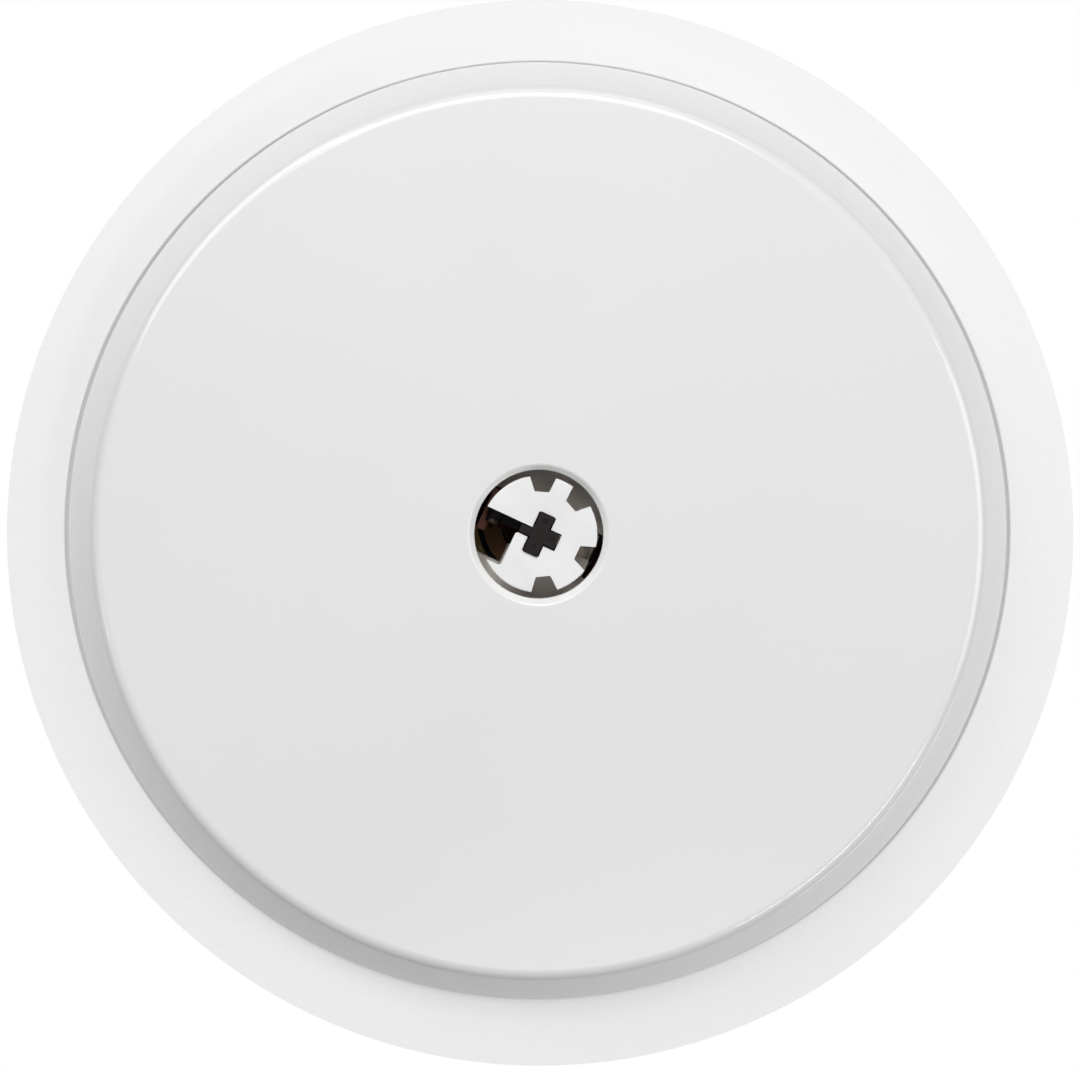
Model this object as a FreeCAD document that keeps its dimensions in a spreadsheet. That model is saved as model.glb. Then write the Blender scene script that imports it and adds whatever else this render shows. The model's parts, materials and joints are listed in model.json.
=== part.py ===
import FreeCAD, Part
import os
import re
import Sketcher
from FreeCAD import Placement, Rotation, Vector

# Flush pendent fire sprinkler with a drop-down deflector behind a round cover plate.
# Origin: the sprinkler's axis in the plane of the ceiling. +Z up, so the cover plate hangs below z = 0
# and the body and its inlet thread stand above it. The mechanism is drawn with its levers along X and
# its guide pins along Y, and each of its pieces is then turned by clockAngle about Z.

doc = FreeCAD.newDocument("FireSprinkler")
sheet = doc.addObject("Spreadsheet::Sheet", "Sizes")

SIZES = [
    # cover plate
    ("plateRadius", 42.85, "outer radius at the ceiling"),
    ("plateFlank", 2.55, "run of the flank from the face to the rim"),
    ("plateDepth", 5.2, "face below the ceiling"),
    ("plateRim", 0.8, "height of the upright rim"),
    ("plateWall", 1.2, "sheet thickness"),
    ("rimInnerShare", 0.25, "upright inside of the rim above the outer one, as a share of the wall"),
    ("flankInnerShare", 0.6, "inner flank inside the outer one at the face, as a share of the wall"),
    ("plateEdgeRound", 1.3, "round between face and flank"),
    ("rimRound", 0.5, "round between flank and rim"),
    ("openingRadius", 6.15, "opening in the middle"),
    ("openingRound", 0.35, "rounds of the opening's lip"),
    ("lipFlare", 0.2, "lip wider than the opening at the face, on the radius"),
    ("lipNeck", 0.3, "lip narrower than the opening at its neck, on the radius"),
    ("lipRise", 0.7, "neck above the face"),
    ("collarRise", 4.0, "collar above the face"),
    ("collarTaper", 0.2, "collar narrower at its upper end, on the radius"),
    # sleeve behind the plate
    ("sleeveWall", 0.6, "sheet thickness"),
    ("sleeveUnderHex", 3.0, "fingers end below the hexagon"),
    ("sleeveFoot", 5.74, "width of the foot on the plate"),
    ("sleeveSlot", 1.4, "slot between two fingers"),
    ("sleeveSlotStart", 2.0, "lower end of the slots"),
    ("sleeveGap", 0.06, "sleeve on skirt"),
    # deflector and its place in the opening
    ("deflectorGap", 0.85, "deflector inside the opening"),
    ("deflectorRecess", 0.4, "deflector behind the plate's face"),
    ("deflectorThick", 0.7, "thickness"),
    ("deflectorEdge", 0.12, "rounded edge of the disc"),
    ("deflectorDrop", 12.7, "travel of the deflector"),
    ("notchDepth", 1.45, "notch from the tips of the teeth"),
    ("notchFloorHalf", 0.66, "half width of a notch at its bottom"),
    ("notchMouthHalf", 1.25, "half width of a notch at the tooth tips"),
    ("crossReach", 1.92, "arm of the cross hole"),
    ("crossHalf", 0.83, "half width of the cross hole's arms"),
    ("slotUpper", 0.35, "upper edge of the window's slot"),
    ("slotLower", 0.65, "lower edge of the slot at the cross"),
    ("windowStart", 0.06, "window beyond the cross"),
    ("windowReach", 4.05, "lower end of the window"),
    ("windowRound", 0.3, "rounded corners of the window"),
    # guide pins, clips and bushes
    ("fitGap", 0.05, "clearance of a close fit"),
    ("pinRadius", 0.5, "guide pin"),
    ("pinInset", 1.1, "guide pin from the tips of the teeth"),
    ("pinTail", 0.9, "pin above its clip"),
    ("clipLap", 0.7, "clip around the pin"),
    ("clipThick", 0.6, "clip, thickness"),
    ("clipNeckDepth", 0.14, "neck in the pin for the clip"),
    ("clipMouthShare", 0.8, "half width of the clip's mouth, as a share of the neck"),
    ("bushWall", 0.35, "wall of a bush"),
    ("bushFlangeLap", 0.45, "flange of a bush around it"),
    ("bushFlangeThick", 0.4, "flange thickness"),
    # guide ring and its retaining ring
    ("guideBottom", 1.4, "lower face of the guide ring"),
    ("guideThick", 2.0, "thickness of the guide ring"),
    ("guideWeb", 0.5, "metal between bush and middle hole"),
    ("guideShoulder", 0.6, "step that the guide ring rests on"),
    ("leverSwingRoom", 1.6, "lever slot beyond the leg"),
    ("leverSlotGap", 0.15, "lever slot beside the leg"),
    ("snapThick", 0.8, "retaining ring, thickness"),
    ("snapLap", 0.9, "retaining ring inside the bore"),
    ("snapGrooveDepth", 0.6, "groove for the retaining ring"),
    ("snapGapHalf", 1.6, "half width of the retaining ring's gap"),
    # sprinkler body
    ("throatRoom", 1.0, "bore around the pin clips"),
    ("ledgeLap", 2.2, "lever ledge inside the cavity"),
    ("ledgeThick", 1.5, "lever ledge, thickness"),
    ("ledgeUnderClip", 2.05, "lever ledge below the clips at rest"),
    ("hookRoom", 0.2, "groove around the hooks"),
    ("hookRoomAbove", 1.5, "groove above the levers"),
    ("skirtWall", 3.4, "wall of the skirt"),
    ("skirtLip", 0.15, "skirt below the retaining ring's groove"),
    ("hexAcross", 27.0, "wrench size across the flats"),
    ("hexThick", 5.0, "hexagon, height"),
    ("hexBevel", 0.9, "bevel on the hexagon's corners"),
    ("seatAboveLevers", 4.5, "valve seat above the levers"),
    ("orificeRadius", 4.0, "waterway through the seat"),
    ("orificeLength", 2.5, "straight part of the orifice"),
    ("inletConeLength", 3.0, "cone between orifice and inlet"),
    ("inletRadius", 6.5, "waterway at the inlet"),
    # inlet thread, parallel pipe thread of the half-inch size
    ("threadRadius", 10.4775, "crest radius"),
    ("threadDepth", 1.162, "crest to root"),
    ("threadPitch", 1.814, "pitch"),
    ("threadRootHalf", 0.11, "half width of the groove at its root"),
    ("threadMouthShare", 0.47, "half width of the groove at the crests, as a share of the pitch"),
    ("threadOvercut", 0.1, "groove drawn beyond the crests"),
    ("threadLength", 13.0, "length of the full crests"),
    ("threadBevel", 1.2, "lead-in bevel"),
    ("reliefDepth", 1.2775, "neck under the thread"),
    ("reliefLength", 2.0, "length of that neck"),
    # sealing washer
    ("washerGap", 0.15, "washer outside the thread's crests"),
    ("washerWidth", 2.55, "width"),
    ("washerThick", 1.5, "thickness"),
    # fusible key and solder
    ("keyGap", 0.14, "key inside the cross hole"),
    ("keyLipGap", 0.03, "lip below the deflector"),
    ("keyLipThick", 0.15, "lip, thickness"),
    ("keyLip", 0.08, "lip beyond the cross hole"),
    ("keyFootRise", 0.05, "foot above the deflector"),
    ("keyShank", 0.6, "shank radius"),
    ("keyTop", 0.75, "upper end of the shank"),
    ("keyDimple", 0.24, "radius of a press mark"),
    ("keyDimpleDepth", 0.12, "depth of a press mark"),
    ("keyDimpleInset", 0.67, "press mark from the end of its arm"),
    ("solderWall", 0.22, "solder around the shank"),
    ("solderHalf", 0.5, "half height of the solder"),
    # link arms and their rivets
    ("linkGap", 0.08, "link arm from the solder"),
    ("linkHalfHeight", 0.4, "half height of a link arm"),
    ("linkLower", 0.6, "far side of the arm from the middle plane"),
    ("linkEye", 0.8, "radius of the arm's eye"),
    ("rivetInset", 1.1, "rivet from the leg's outer face"),
    ("rivetRadius", 0.4, "rivet shank"),
    ("rivetHead", 0.68, "rivet head"),
    ("rivetHeadThick", 0.35, "rivet head thickness"),
    # levers
    ("leverClipRoom", 1.0, "lever beside a pin clip"),
    ("legInset", 1.1, "leg inside the throat"),
    ("legThick", 0.8, "thickness of the leg"),
    ("hookLap", 0.8, "hook on the ledge"),
    ("hookGap", 0.05, "hook above the ledge"),
    ("hookThick", 1.45, "hook, height"),
    ("hookDrop", 0.3, "bevel at the hook's end"),
    ("noseLength", 0.9, "nose inside the leg"),
    ("noseThick", 1.1, "nose, height"),
    ("lugUnderGuide", 0.45, "foot below the guide ring"),
    ("lugBottom", 0.7, "foot below the ceiling"),
    ("lugLength", 1.0, "foot inside the leg"),
    ("lugGap", 0.05, "foot beside the link arm"),
    # bridge, screw, button and springs
    ("bridgeGap", 0.05, "bridge above the levers"),
    ("bridgeEndHalf", 1.2, "half width at its ends"),
    ("bridgeClipRoom", 0.9, "bridge beside a pin clip"),
    ("bridgeThick", 1.55, "thickness"),
    ("screwRadius", 1.5, "compression screw"),
    ("screwTail", 0.8, "screw below the levers' top"),
    ("screwTip", 0.5, "bevel at both ends of the screw"),
    ("socketAcross", 1.5, "hexagon socket across the flats"),
    ("socketDepth", 1.4, "depth of the socket"),
    ("buttonBoss", 2.2, "boss under the button"),
    ("buttonBossThick", 0.5, "boss height"),
    ("buttonLap", 0.9, "button beyond the orifice"),
    ("buttonThick", 0.8, "button thickness"),
    ("pipGap", 1.6, "pip inside the orifice"),
    ("pipRise", 1.4, "height of the pip"),
    ("discSpringLap", 0.5, "disc spring beyond the button"),
    ("discSpringRise", 0.56, "height of the disc spring"),
    ("discSpringThick", 0.3, "thickness of the disc spring"),
    ("sealGap", 0.04, "disc spring under the seat"),
    ("ejectorRadius", 2.9, "mean radius of the ejector spring"),
    ("ejectorWire", 0.28, "wire radius of the ejector spring"),
    # whole part
    ("overcut", 1.0, "cuts drawn beyond the material"),
    ("clockAngle", -155.0, "turn of the mechanism about the axis"),
]

# Places and sizes that follow from the ones above. The opening sets the deflector, which sets the pins,
# the throat and the levers; the deflector's drop sets the height of the ledge and of all above it.
DERIVED = {
    "plateFaceRadius": "plateRadius - plateFlank",
    "deflectorRadius": "openingRadius - deflectorGap",
    "deflectorBottom": "plateDepth - deflectorRecess",
    "notchFloor": "deflectorRadius - notchDepth",
    "windowInner": "crossReach + windowStart",
    "pinOffset": "deflectorRadius - pinInset",
    "clipRadius": "pinRadius + clipLap",
    "clipNeck": "pinRadius - clipNeckDepth",
    "bushRadius": "pinRadius + fitGap + bushWall",
    "bushFlangeRadius": "bushRadius + bushFlangeLap",
    "guideTop": "guideBottom + guideThick",
    "guideBore": "pinOffset - bushRadius - guideWeb",
    "clipBottom": "guideTop + bushFlangeThick + deflectorDrop + fitGap",
    "throatRadius": "pinOffset + clipRadius + throatRoom",
    "cavityRadius": "throatRadius + ledgeLap",
    "skirtBore": "cavityRadius + guideShoulder",
    "skirtRadius": "skirtBore + skirtWall",
    "snapBore": "skirtBore - snapLap",
    "snapGrooveRadius": "skirtBore + snapGrooveDepth",
    "skirtBottom": "guideBottom - snapThick - fitGap - skirtLip",
    "ledgeTop": "clipBottom - ledgeUnderClip",
    "ledgeBottom": "ledgeTop - ledgeThick",
    "leverHalf": "pinOffset - clipRadius - leverClipRoom",
    "legOuter": "throatRadius - legInset",
    "legInner": "legOuter - legThick",
    "hookReach": "throatRadius + hookLap",
    "hookGrooveRadius": "sqrt(hookReach * hookReach + leverHalf * leverHalf) + hookRoom",
    "leverTop": "ledgeTop + hookGap + hookThick",
    "hookGrooveTop": "leverTop + hookRoomAbove",
    "noseReach": "legInner - noseLength",
    "noseBottom": "leverTop - noseThick",
    "lugTop": "guideBottom - lugUnderGuide",
    "lugInner": "legInner - lugLength",
    "linkUpper": "slotUpper",
    "lugSide": "linkUpper + lugGap",
    "leverSlotReach": "legOuter + leverSwingRoom",
    "leverSlotHalf": "leverHalf + leverSlotGap",
    "hexBottom": "ledgeBottom",
    "hexTop": "hexBottom + hexThick",
    "sleeveInner": "skirtRadius + sleeveGap",
    "sleeveTop": "hexBottom - sleeveUnderHex",
    "sleeveFlange": "sleeveInner + sleeveWall + sleeveFoot",
    "seatHeight": "leverTop + seatAboveLevers",
    "orificeTop": "seatHeight + orificeLength",
    "inletConeTop": "orificeTop + inletConeLength",
    "reliefRadius": "threadRadius - reliefDepth",
    "reliefTop": "hexTop + reliefLength",
    "threadTop": "reliefTop + threadLength",
    "inletTop": "threadTop + threadBevel",
    "washerBore": "threadRadius + washerGap",
    "washerRadius": "washerBore + washerWidth",
    "keyBottom": "deflectorBottom + keyLipGap + keyLipThick",
    "keyFootTop": "deflectorBottom - deflectorThick - keyFootRise",
    "keyDimplePlace": "crossReach - keyDimpleInset",
    "solderRadius": "keyShank + solderWall",
    "linkInner": "solderRadius + linkGap",
    "linkPivot": "legOuter - rivetInset",
    "bridgeReach": "legInner",
    "bridgeMiddleHalf": "pinOffset - clipRadius - bridgeClipRoom",
    "screwBottom": "leverTop - screwTail",
    "buttonRest": "seatHeight - sealGap - discSpringRise",
    "buttonFace": "buttonRest - buttonThick",
    "screwTop": "buttonFace - buttonBossThick",
    "buttonRadius": "orificeRadius + buttonLap",
    "buttonPip": "orificeRadius - pipGap",
    "discSpringBore": "buttonPip + fitGap",
    "discSpringRadius": "buttonRadius + discSpringLap",
}
NOTCH_ANGLES = [69.2, 113.6, 180.7, 239.6]
FINGERS = 6


def writeSizes():
    """Names in column A, plain numbers in column B with an alias, notes in column C."""
    for row, (name, number, note) in enumerate(SIZES, start=1):
        sheet.set(f"A{row}", name)
        sheet.set(f"B{row}", str(number))
        sheet.setAlias(f"B{row}", name)
        sheet.set(f"C{row}", note)
    for place, angle in enumerate(NOTCH_ANGLES):
        row = len(SIZES) + 1 + place
        sheet.set(f"A{row}", f"notchAngle{place}x")
        sheet.set(f"B{row}", str(angle))
        sheet.setAlias(f"B{row}", f"notchAngle{place}x")
    doc.recompute()


def bound(text):
    """The expression with each derived name written out and each size's name pointed at the sheet."""
    def point(word):
        name = word.group()
        return f"({bound(DERIVED[name])})" if name in DERIVED else f"Sizes.{name}"
    return re.sub(r"\b(?!sqrt\b)[A-Za-z]\w*", point, text)


def number(text):
    """The expression's present value."""
    return float(sheet.evalExpression(bound(text)))


def newBody(label, turn=None):
    """A body of its own, turned about Z by the expression turn."""
    body = doc.addObject("PartDesign::Body", label)
    body.Label = label
    if turn is not None:
        body.Placement = Placement(Vector(), Rotation(Vector(0, 0, 1), number(turn)))
        body.setExpression("Placement.Rotation.Angle", bound(turn))
    return body


def sketchOn(body, role, lift="0", turn=None):
    """A sketch on an origin plane, moved along the plane's normal by the expression lift."""
    sketch = body.newObject("Sketcher::SketchObject", f"{body.Name}_sketch")
    plane = [f for f in body.Origin.OriginFeatures if f.Role == role][0]
    sketch.AttachmentSupport = [(plane, "")]
    sketch.MapMode = "FlatFace"
    if turn is not None:
        sketch.AttachmentOffset = Placement(Vector(), Rotation(Vector(0, 0, 1), number(turn)))
        sketch.setExpression("AttachmentOffset.Rotation.Angle", bound(turn))
    sketch.setExpression("AttachmentOffset.Base.z", bound(lift))
    return sketch


def fix(sketch, kind, first, end, text):
    """One distance from the origin to a point, bound to the sheet."""
    place = sketch.addConstraint(Sketcher.Constraint(kind, -1, 1, first, end, number(text)))
    sketch.setExpression(f"Constraints[{place}]", bound(text))


def outline(sketch, corners):
    """A closed run of straight lines through corners, each corner two expressions."""
    start = sketch.GeometryCount
    spots = [Vector(number(x), number(y), 0) for x, y in corners]
    count = len(spots)
    for i in range(count):
        sketch.addGeometry(Part.LineSegment(spots[i], spots[(i + 1) % count]), False)
    for i in range(count):
        following = start + (i + 1) % count
        sketch.addConstraint(Sketcher.Constraint("Coincident", start + i, 2, following, 1))
    for i, (x, y) in enumerate(corners):
        fix(sketch, "DistanceX", start + i, 1, x)
        fix(sketch, "DistanceY", start + i, 1, y)
    return sketch


def box(x0, y0, x1, y1):
    """Corners of a rectangle."""
    return [(x0, y0), (x1, y0), (x1, y1), (x0, y1)]


def circle(sketch, x, y, radius):
    """A circle whose centre and radius are expressions."""
    centre = Vector(number(x), number(y), 0)
    place = sketch.addGeometry(Part.Circle(centre, Vector(0, 0, 1), number(radius)), False)
    fix(sketch, "DistanceX", place, 3, x)
    fix(sketch, "DistanceY", place, 3, y)
    size = sketch.addConstraint(Sketcher.Constraint("Radius", place, number(radius)))
    sketch.setExpression(f"Constraints[{size}]", bound(radius))
    return sketch


def hexagon(sketch, across):
    """A regular hexagon about the origin, given across its flats."""
    half = f"({across}) / 2"
    corner = f"({across}) / sqrt(3)"
    side = f"({across}) / (2 * sqrt(3))"
    return outline(sketch, [
        (corner, "0"), (side, half), (f"-{side}", half),
        (f"-{corner}", "0"), (f"-{side}", f"-{half}"), (side, f"-{half}"),
    ])


def spin(body, corners, aside="0", cut=False):
    """Material turned (or cut) about the upright line at y = aside; corners are radius, height."""
    sketch = outline(sketchOn(body, "XZ_Plane", f"-({aside})"), corners)
    kind = "PartDesign::Groove" if cut else "PartDesign::Revolution"
    feature = body.newObject(kind, f"{body.Name}_turn")
    feature.Profile = sketch
    feature.ReferenceAxis = (sketch, ["V_Axis"])
    feature.Angle = 360
    return settle(body, cut)


def pad(body, sketch, length, symmetric=False):
    """Material raised from a sketch along its normal."""
    feature = body.newObject("PartDesign::Pad", f"{body.Name}_pad")
    feature.Profile = sketch
    feature.setExpression("Length", bound(length))
    feature.SideType = "Symmetric" if symmetric else "One side"
    return settle(body, False)


def pocket(body, sketch, length, symmetric=False):
    """Material cut from a sketch along its normal."""
    feature = body.newObject("PartDesign::Pocket", f"{body.Name}_cut")
    feature.Profile = sketch
    feature.setExpression("Length", bound(length))
    feature.Reversed = not symmetric
    feature.SideType = "Symmetric" if symmetric else "One side"
    return settle(body, True)


volumes = {}


def settle(body, cut):
    """Recompute, and stop if the last feature changed nothing."""
    doc.recompute()
    before = volumes.get(body.Name, 0.0)
    after = body.Shape.Volume
    if (after >= before - 1e-6) if cut else (after <= before + 1e-6):
        raise SystemExit(f"{body.Label}: a feature changed nothing")
    volumes[body.Name] = after
    return body.Tip


def soften(body, radius, wanted):
    """Fillet the edges that wanted(edge) accepts."""
    base = body.Tip
    names = [f"Edge{i}" for i, edge in enumerate(base.Shape.Edges, start=1) if wanted(edge)]
    feature = body.newObject("PartDesign::Fillet", f"{body.Name}_round")
    feature.Base = (base, names)
    feature.setExpression("Radius", bound(radius))
    doc.recompute()
    volumes[body.Name] = body.Shape.Volume


def ringAt(radius, height):
    """A test for the circular edge of this radius at this height."""
    wantedRadius, wantedHeight = number(radius), number(height)

    def wanted(edge):
        if not isinstance(edge.Curve, Part.Circle):
            return False
        centre = edge.Curve.Center
        return abs(edge.Curve.Radius - wantedRadius) < 1e-4 and abs(centre.z - wantedHeight) < 1e-4
    return wanted


def escutcheonPlate():
    body = newBody("escutcheon_plate")
    spin(body, [
        ("openingRadius + lipFlare", "-plateDepth"),
        ("plateFaceRadius", "-plateDepth"),
        ("plateRadius", "-plateRim"),
        ("plateRadius", "0"),
        ("plateRadius - plateWall", "0"),
        ("plateRadius - plateWall", "-plateRim - plateWall * rimInnerShare"),
        ("plateFaceRadius - plateWall * flankInnerShare", "plateWall - plateDepth"),
        ("openingRadius + plateWall", "plateWall - plateDepth"),
        ("openingRadius + plateWall - collarTaper", "collarRise - plateDepth"),
        ("openingRadius - collarTaper", "collarRise - plateDepth"),
        ("openingRadius - lipNeck", "lipRise - plateDepth"),
    ])
    soften(body, "plateEdgeRound", ringAt("plateFaceRadius", "-plateDepth"))
    soften(body, "rimRound", ringAt("plateRadius", "-plateRim"))
    soften(body, "openingRound", ringAt("openingRadius + lipFlare", "-plateDepth"))
    soften(body, "openingRound", ringAt("openingRadius - lipNeck", "lipRise - plateDepth"))
    return body


def escutcheonSleeve():
    body = newBody("escutcheon_sleeve")
    foot = "plateWall - plateDepth"
    spin(body, [
        ("sleeveInner", foot),
        ("sleeveFlange", foot),
        ("sleeveFlange", f"{foot} + sleeveWall"),
        ("sleeveInner + sleeveWall", f"{foot} + sleeveWall"),
        ("sleeveInner + sleeveWall", "sleeveTop"),
        ("sleeveInner", "sleeveTop"),
    ])
    slot = outline(sketchOn(body, "XY_Plane", "sleeveSlotStart"),
                   box("sleeveInner - sleeveWall", "-sleeveSlot / 2",
                       "sleeveInner + 2 * sleeveWall", "sleeveSlot / 2"))
    cut = pocket(body, slot, "sleeveTop - sleeveSlotStart")
    pattern = body.newObject("PartDesign::PolarPattern", "escutcheon_sleeve_fingers")
    pattern.Originals = [cut]
    pattern.Axis = (slot, ["N_Axis"])
    pattern.Angle = 360
    pattern.Occurrences = FINGERS
    body.Tip = pattern
    settle(body, True)
    return body


def sprinklerBody():
    body = newBody("sprinkler_body")
    spin(body, [
        ("0", "skirtBottom"),
        ("skirtRadius", "skirtBottom"),
        ("skirtRadius", "hexTop"),
        ("reliefRadius", "hexTop"),
        ("reliefRadius", "reliefTop"),
        ("threadRadius", "reliefTop"),
        ("threadRadius", "threadTop"),
        ("threadRadius - threadBevel", "inletTop"),
        ("0", "inletTop"),
    ])
    pad(body, hexagon(sketchOn(body, "XY_Plane", "hexBottom"), "hexAcross"), "hexTop - hexBottom")
    corner = "hexAcross / sqrt(3)"
    for edge, inward in (("hexBottom", "hexBevel / 2"), ("hexTop", "-hexBevel / 2")):
        spin(body, [
            (f"{corner} - hexBevel", edge),
            (f"{corner} + hexBevel", edge),
            (f"{corner} + hexBevel", f"{edge} + 2 * ({inward})"),
        ], cut=True)
    snapBottom = "guideBottom - snapThick - fitGap"
    spin(body, [
        ("0", "skirtBottom"),
        ("skirtBore", "skirtBottom"),
        ("skirtBore", snapBottom),
        ("snapGrooveRadius", snapBottom),
        ("snapGrooveRadius", "guideBottom"),
        ("skirtBore", "guideBottom"),
        ("skirtBore", "guideTop"),
        ("cavityRadius", "guideTop"),
        ("cavityRadius", "ledgeBottom"),
        ("throatRadius", "ledgeBottom"),
        ("throatRadius", "ledgeTop"),
        ("hookGrooveRadius", "ledgeTop"),
        ("hookGrooveRadius", "hookGrooveTop"),
        ("throatRadius", "hookGrooveTop"),
        ("throatRadius", "seatHeight"),
        ("orificeRadius", "seatHeight"),
        ("orificeRadius", "orificeTop"),
        ("inletRadius", "inletConeTop"),
        ("inletRadius", "inletTop"),
        ("0", "inletTop"),
    ], cut=True)
    start, mouthHalf = "reliefTop - threadPitch / 2", "threadPitch * threadMouthShare"
    mouth, root = "threadRadius + threadOvercut", "threadRadius - threadDepth"
    groove = outline(sketchOn(body, "XZ_Plane"), [
        (mouth, f"{start} - {mouthHalf}"), (mouth, f"{start} + {mouthHalf}"),
        (root, f"{start} + threadRootHalf"), (root, f"{start} - threadRootHalf"),
    ])
    helix = body.newObject("PartDesign::SubtractiveHelix", "inlet_thread")
    helix.Profile = groove
    helix.ReferenceAxis = (groove, ["V_Axis"])
    helix.Mode = 0
    helix.setExpression("Pitch", bound("threadPitch"))
    helix.setExpression("Height", bound("inletTop - reliefTop + threadPitch"))
    settle(body, True)
    return body


def sealingWasher():
    body = newBody("sealing_washer")
    spin(body, box("washerBore", "hexTop", "washerRadius", "hexTop + washerThick"))
    return body


def guideRing():
    body = newBody("guide_ring", "clockAngle")
    pad(body, circle(sketchOn(body, "XY_Plane", "guideBottom"), "0", "0", "skirtBore - fitGap"),
        "guideThick")
    slots = outline(sketchOn(body, "XY_Plane", "guideBottom"),
                    box("-leverSlotReach", "-leverSlotHalf", "leverSlotReach", "leverSlotHalf"))
    pocket(body, slots, "guideThick")
    pocket(body, circle(sketchOn(body, "XY_Plane", "guideBottom"), "0", "0", "guideBore"),
           "guideThick")
    window = box("windowInner", "-windowReach", "deflectorRadius", "0")
    pocket(body, outline(sketchOn(body, "XY_Plane", "guideBottom"), window), "guideThick")
    for side in ("", "-"):
        hole = circle(sketchOn(body, "XY_Plane", "guideBottom"), "0", f"{side}pinOffset",
                      "bushRadius")
        pocket(body, hole, "guideThick")
    return body


def retainingRing():
    body = newBody("retaining_ring", "clockAngle")
    lower = "guideBottom - snapThick"
    spin(body, box("snapBore", lower, "snapGrooveRadius - fitGap", "guideBottom"))
    gap = outline(sketchOn(body, "XY_Plane", lower),
                  box("-snapGapHalf", "snapBore - overcut",
                      "snapGapHalf", "snapGrooveRadius + overcut"))
    pocket(body, gap, "snapThick")
    return body


def guideBush(letter, side):
    body = newBody(f"guide_bush_{letter}", "clockAngle")
    spin(body, [
        ("pinRadius + fitGap", "guideBottom"),
        ("bushRadius", "guideBottom"),
        ("bushRadius", "guideTop"),
        ("bushFlangeRadius", "guideTop"),
        ("bushFlangeRadius", "guideTop + bushFlangeThick"),
        ("pinRadius + fitGap", "guideTop + bushFlangeThick"),
    ], aside=f"{side}pinOffset")
    return body


def guidePin(letter, side):
    body = newBody(f"guide_pin_{letter}", "clockAngle")
    top = "clipBottom + clipThick + pinTail"
    spin(body, [
        ("0", "-deflectorBottom"),
        ("pinRadius", "-deflectorBottom"),
        ("pinRadius", "clipBottom"),
        ("clipNeck", "clipBottom"),
        ("clipNeck", "clipBottom + clipThick"),
        ("pinRadius", "clipBottom + clipThick"),
        ("pinRadius", f"{top} - pinRadius / 2"),
        ("pinRadius / 2", top),
        ("0", top),
    ], aside=f"{side}pinOffset")
    return body


def pinClip(letter, side):
    body = newBody(f"pin_clip_{letter}", "clockAngle")
    spin(body, box("clipNeck", "clipBottom", "clipRadius", "clipBottom + clipThick"),
         aside=f"{side}pinOffset")
    mouthHalf = "clipNeck * clipMouthShare"
    mouth = outline(sketchOn(body, "XY_Plane", "clipBottom"),
                    box("0", f"{side}pinOffset - {mouthHalf}",
                        "clipRadius + clipLap", f"{side}pinOffset + {mouthHalf}"))
    pocket(body, mouth, "clipThick")
    return body


def deflector():
    body = newBody("deflector", "clockAngle")
    foot = "-deflectorBottom"
    pad(body, circle(sketchOn(body, "XY_Plane", foot), "0", "0", "deflectorRadius"),
        "deflectorThick")
    soften(body, "deflectorEdge", ringAt("deflectorRadius", foot))
    beyond = "deflectorRadius + overcut"
    opening = [
        (beyond, "slotUpper"), ("crossHalf", "slotUpper"),
        ("crossHalf", "crossReach"), ("-crossHalf", "crossReach"),
        ("-crossHalf", "crossHalf"), ("-crossReach", "crossHalf"),
        ("-crossReach", "-crossHalf"), ("-crossHalf", "-crossHalf"),
        ("-crossHalf", "-crossReach"), ("crossHalf", "-crossReach"),
        ("crossHalf", "-slotLower"), ("windowInner", "-slotLower"),
        ("windowInner", "-windowReach"), (beyond, "-windowReach"),
    ]
    pocket(body, outline(sketchOn(body, "XY_Plane", foot), opening), "deflectorThick")
    for place in range(len(NOTCH_ANGLES)):
        spread = "(notchMouthHalf - notchFloorHalf) / (deflectorRadius - notchFloor)"
        mouth = f"notchMouthHalf + {spread} * overcut"
        notch = outline(sketchOn(body, "XY_Plane", foot, turn=f"notchAngle{place}x"), [
            ("notchFloor", "-notchFloorHalf"), (beyond, f"-({mouth})"),
            (beyond, mouth), ("notchFloor", "notchFloorHalf"),
        ])
        pocket(body, notch, "deflectorThick")
    for side in ("", "-"):
        hole = circle(sketchOn(body, "XY_Plane", foot), "0", f"{side}pinOffset", "pinRadius")
        pocket(body, hole, "deflectorThick")
    inner, low = number("windowInner"), number("windowReach")
    shoulder = number("slotLower")

    def windowCorner(edge):
        first, last = edge.Vertexes[0].Point, edge.Vertexes[-1].Point
        upright = abs(first.x - last.x) < 1e-6 and abs(first.y - last.y) < 1e-6
        corner = min(abs(first.y + low), abs(first.y + shoulder)) < 1e-4
        return upright and corner and abs(first.x - inner) < 1e-4
    soften(body, "windowRound", windowCorner)
    return body


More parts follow.
